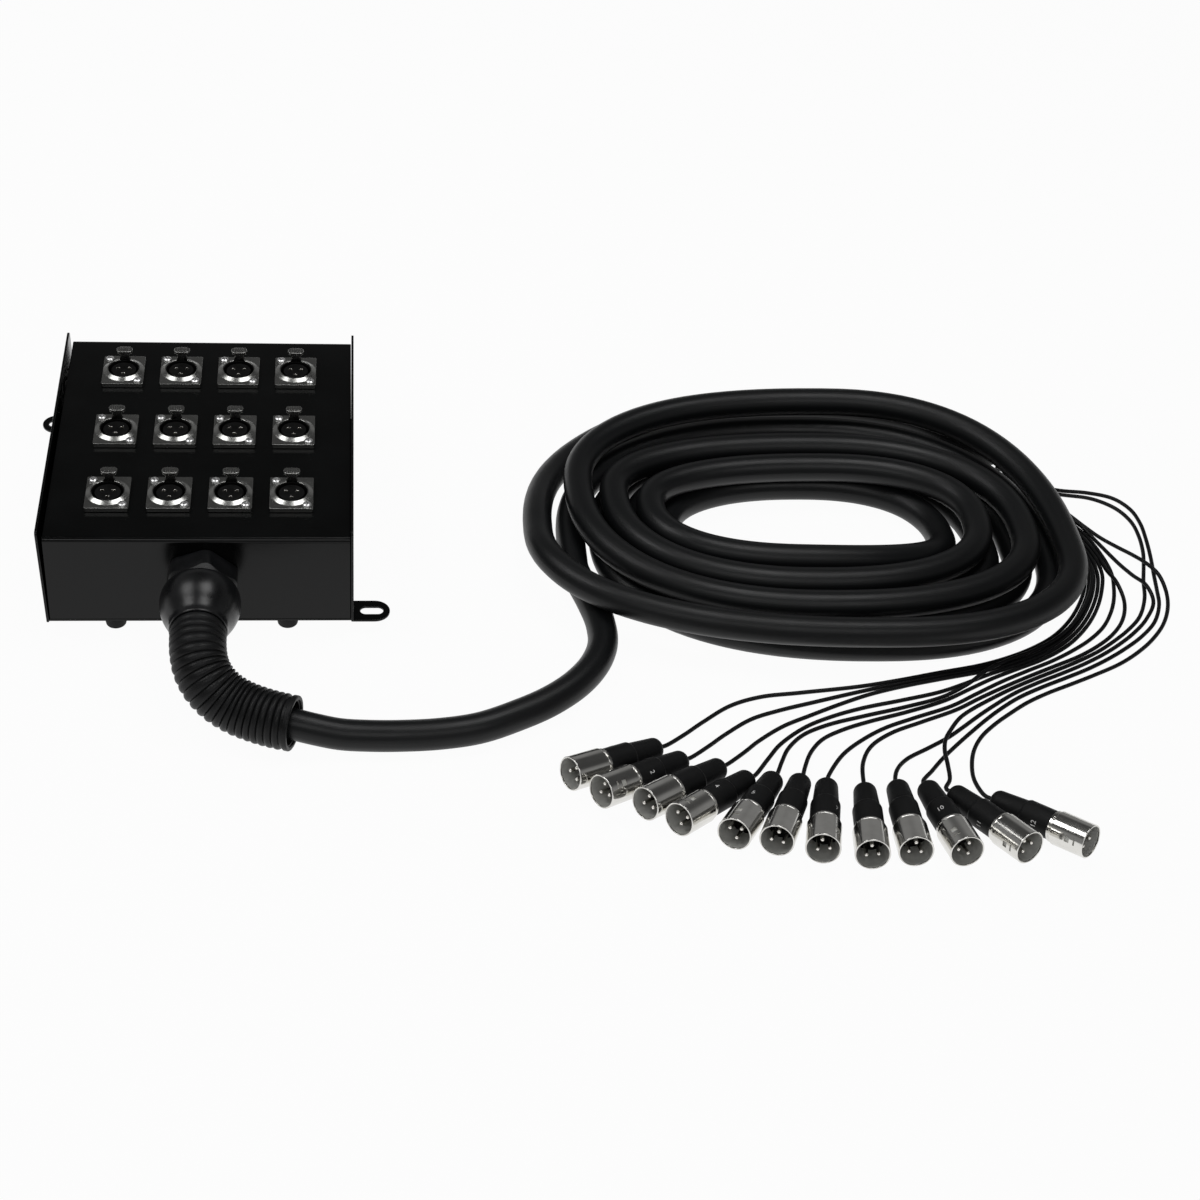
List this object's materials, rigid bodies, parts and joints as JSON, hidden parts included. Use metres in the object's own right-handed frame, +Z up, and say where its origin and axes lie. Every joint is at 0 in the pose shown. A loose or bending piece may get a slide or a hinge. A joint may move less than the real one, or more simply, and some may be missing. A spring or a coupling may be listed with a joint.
{
  "type": "stage box snake",
  "caption": "Low steel stage box with latching round audio sockets in its lid and a gland-held trunk cable, coiled beside it, that fans out into thin tails with cable plugs.",
  "frame": {"origin": "on the floor under the middle of the box, between its four feet", "axes": "+X to the right across the box, towards the coil; +Y from the gland side to the back of the box; +Z up"},
  "size_m": [0.7268, 0.4481, 0.0806],
  "materials": {
    "box_paint": "black satin powder coat",
    "foot_rubber": "matte black rubber",
    "socket_metal": "die-cast flange with satin nickel plate, black insert",
    "latch_metal": "nickel plate",
    "gland_plastic": "black moulded nylon",
    "hose_plastic": "black corrugated nylon",
    "trunk_jacket": "dark grey flexible cable jacket",
    "boot_rubber": "black moulded rubber",
    "tail_jacket": "dark thin cable jacket",
    "plug_metal": "bright nickel plated shell with a black boot"
  },
  "bodies": {
    "box": {"base_tray": "box_paint", "top_cover": "box_paint", "foot_front_left": "foot_rubber", "foot_front_right": "foot_rubber", "foot_rear_left": "foot_rubber", "foot_rear_right": "foot_rubber", "socket_01": "socket_metal", "socket_02": "socket_metal", "socket_03": "socket_metal", "socket_04": "socket_metal", "socket_05": "socket_metal", "socket_06": "socket_metal", "socket_07": "socket_metal", "socket_08": "socket_metal", "socket_09": "socket_metal", "socket_10": "socket_metal", "socket_11": "socket_metal", "socket_12": "socket_metal", "gland_body": "gland_plastic", "gland_nut": "gland_plastic", "corrugated_hose": "hose_plastic", "trunk_lead": "trunk_jacket", "trunk_coil": "trunk_jacket", "breakout_boot": "boot_rubber", "tail_01": "tail_jacket", "tail_02": "tail_jacket", "tail_03": "tail_jacket", "tail_04": "tail_jacket", "tail_05": "tail_jacket", "tail_06": "tail_jacket", "tail_07": "tail_jacket", "tail_08": "tail_jacket", "tail_09": "tail_jacket", "tail_10": "tail_jacket", "tail_11": "tail_jacket", "tail_12": "tail_jacket", "plug_01": "plug_metal", "plug_02": "plug_metal", "plug_03": "plug_metal", "plug_04": "plug_metal", "plug_05": "plug_metal", "plug_06": "plug_metal", "plug_07": "plug_metal", "plug_08": "plug_metal", "plug_09": "plug_metal", "plug_10": "plug_metal", "plug_11": "plug_metal", "plug_12": "plug_metal"},
    "release_tab_01": {"latch_01": "latch_metal"},
    "release_tab_02": {"latch_02": "latch_metal"},
    "release_tab_03": {"latch_03": "latch_metal"},
    "release_tab_04": {"latch_04": "latch_metal"},
    "release_tab_05": {"latch_05": "latch_metal"},
    "release_tab_06": {"latch_06": "latch_metal"},
    "release_tab_07": {"latch_07": "latch_metal"},
    "release_tab_08": {"latch_08": "latch_metal"},
    "release_tab_09": {"latch_09": "latch_metal"},
    "release_tab_10": {"latch_10": "latch_metal"},
    "release_tab_11": {"latch_11": "latch_metal"},
    "release_tab_12": {"latch_12": "latch_metal"}
  },
  "joints": [
    {"name": "latch_01_press", "type": "slide", "parent": "box", "child": "release_tab_01", "axis": [0, 0, -1], "range_m": [0, 0.0015], "stiffness_N_per_m": 600, "springref_m": -0.002},
    {"name": "latch_02_press", "type": "slide", "parent": "box", "child": "release_tab_02", "axis": [0, 0, -1], "range_m": [0, 0.0015], "stiffness_N_per_m": 600, "springref_m": -0.002},
    {"name": "latch_03_press", "type": "slide", "parent": "box", "child": "release_tab_03", "axis": [0, 0, -1], "range_m": [0, 0.0015], "stiffness_N_per_m": 600, "springref_m": -0.002},
    {"name": "latch_04_press", "type": "slide", "parent": "box", "child": "release_tab_04", "axis": [0, 0, -1], "range_m": [0, 0.0015], "stiffness_N_per_m": 600, "springref_m": -0.002},
    {"name": "latch_05_press", "type": "slide", "parent": "box", "child": "release_tab_05", "axis": [0, 0, -1], "range_m": [0, 0.0015], "stiffness_N_per_m": 600, "springref_m": -0.002},
    {"name": "latch_06_press", "type": "slide", "parent": "box", "child": "release_tab_06", "axis": [0, 0, -1], "range_m": [0, 0.0015], "stiffness_N_per_m": 600, "springref_m": -0.002},
    {"name": "latch_07_press", "type": "slide", "parent": "box", "child": "release_tab_07", "axis": [0, 0, -1], "range_m": [0, 0.0015], "stiffness_N_per_m": 600, "springref_m": -0.002},
    {"name": "latch_08_press", "type": "slide", "parent": "box", "child": "release_tab_08", "axis": [0, 0, -1], "range_m": [0, 0.0015], "stiffness_N_per_m": 600, "springref_m": -0.002},
    {"name": "latch_09_press", "type": "slide", "parent": "box", "child": "release_tab_09", "axis": [0, 0, -1], "range_m": [0, 0.0015], "stiffness_N_per_m": 600, "springref_m": -0.002},
    {"name": "latch_10_press", "type": "slide", "parent": "box", "child": "release_tab_10", "axis": [0, 0, -1], "range_m": [0, 0.0015], "stiffness_N_per_m": 600, "springref_m": -0.002},
    {"name": "latch_11_press", "type": "slide", "parent": "box", "child": "release_tab_11", "axis": [0, 0, -1], "range_m": [0, 0.0015], "stiffness_N_per_m": 600, "springref_m": -0.002},
    {"name": "latch_12_press", "type": "slide", "parent": "box", "child": "release_tab_12", "axis": [0, 0, -1], "range_m": [0, 0.0015], "stiffness_N_per_m": 600, "springref_m": -0.002}
  ]
}
